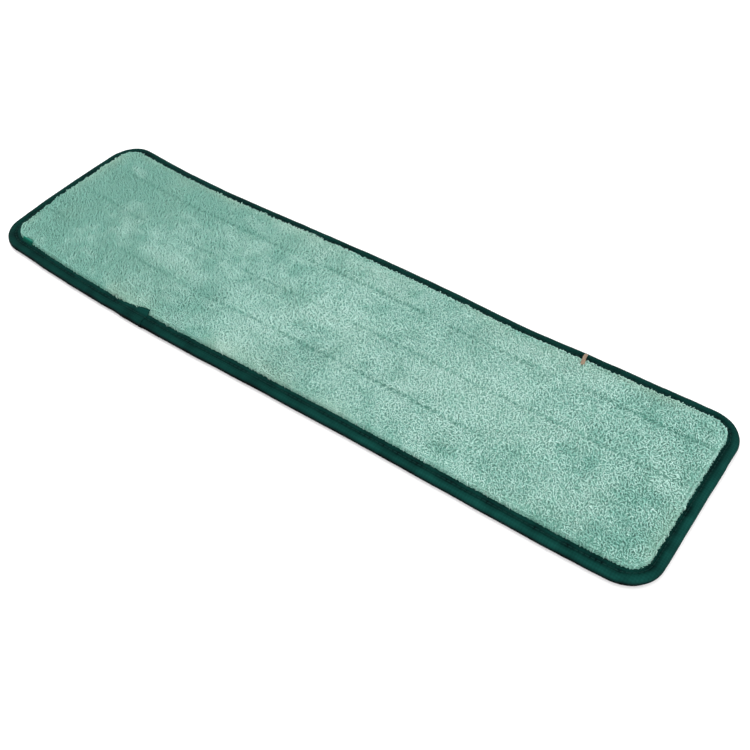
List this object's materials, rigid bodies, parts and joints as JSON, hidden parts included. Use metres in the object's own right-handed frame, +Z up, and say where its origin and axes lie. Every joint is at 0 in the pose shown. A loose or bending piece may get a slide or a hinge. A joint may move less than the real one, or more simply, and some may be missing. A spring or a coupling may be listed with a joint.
{
  "type": "flat mop pad",
  "caption": "Flat mop pad with a green microfibre loop pile, quilted foam core, loop-pile backing that grips hook strips, and a dark green bound edge with rounded corners.",
  "frame": {"origin": "middle of the underside, in the plane of the backing that rests on the floor or on the mop frame", "axes": "+X along the pad's length, +Y across it towards the side with the tag loop, +Z up out of the pile"},
  "size_m": [0.457, 0.128, 0.0092],
  "materials": {
    "pile": "microfibre loop pile, matte",
    "foam": "open-cell foam, matte",
    "backing": "brushed loop knit, matte",
    "binding": "woven tape, slight sheen",
    "seam_thread": "polyester sewing thread",
    "quilt_thread": "polyester sewing thread",
    "tail_thread": "polyester sewing thread",
    "tag": "plain cotton cord"
  },
  "bodies": {
    "root": {"pile_cloth": "pile", "foam_core": "foam", "loop_backing": "backing", "binding_tape": "binding", "binding_needle_thread": "seam_thread", "binding_bobbin_thread": "seam_thread", "quilt_needle_thread_1": "quilt_thread", "quilt_needle_thread_2": "quilt_thread", "quilt_needle_thread_3": "quilt_thread", "quilt_bobbin_thread_1": "quilt_thread", "quilt_bobbin_thread_2": "quilt_thread", "quilt_bobbin_thread_3": "quilt_thread", "thread_tail": "tail_thread", "tag_loop": "tag"}
  },
  "joints": []
}
